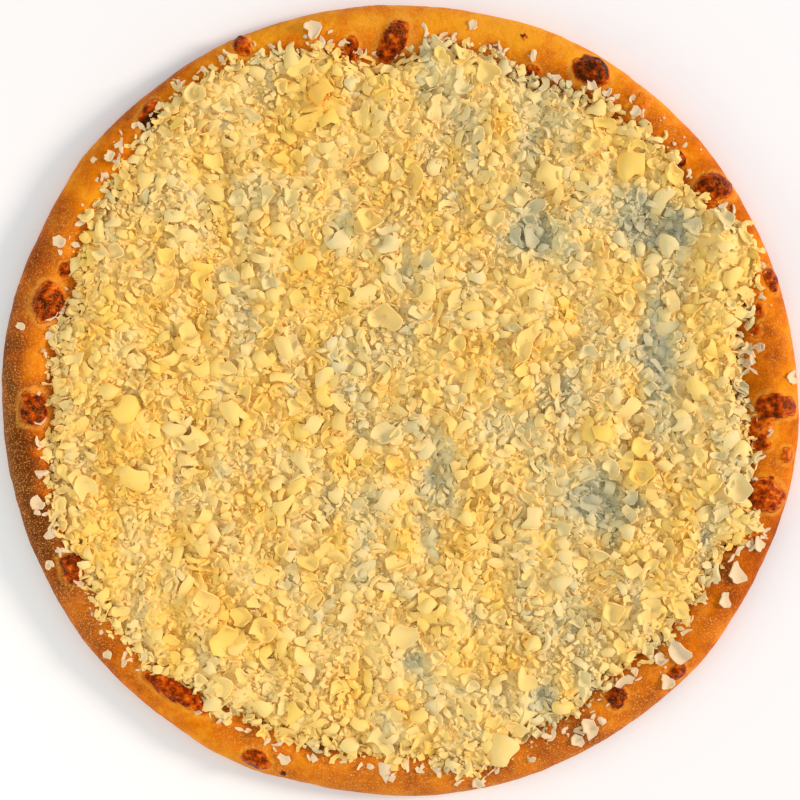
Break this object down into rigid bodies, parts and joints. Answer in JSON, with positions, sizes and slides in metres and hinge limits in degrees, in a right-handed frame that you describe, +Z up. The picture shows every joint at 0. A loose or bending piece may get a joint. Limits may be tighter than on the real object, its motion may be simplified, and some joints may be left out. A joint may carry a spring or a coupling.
{
  "type": "dessert pizza",
  "caption": "Whole round dessert pizza: baked crust with a raised blistered rim, a thin cream layer and a heap of white chocolate shavings out to the rim.",
  "frame": {"origin": "middle of the flat underside, on the surface that the pizza rests on", "axes": "+Z up out of the topping; +Y towards the top of the reference picture and +X towards its right"},
  "size_m": [0.3508, 0.3488, 0.0221],
  "materials": {
    "baked_dough": "matt baked dough, golden to orange brown, with scorched blisters and a dusting of flour",
    "pale_cream": "satin, pale tan cream browned a little by the oven",
    "white_chocolate": "waxy satin, warm ivory yellow"
  },
  "bodies": {
    "root": {"crust": "baked_dough", "cream_layer": "pale_cream", "shavings": "white_chocolate"}
  },
  "joints": []
}
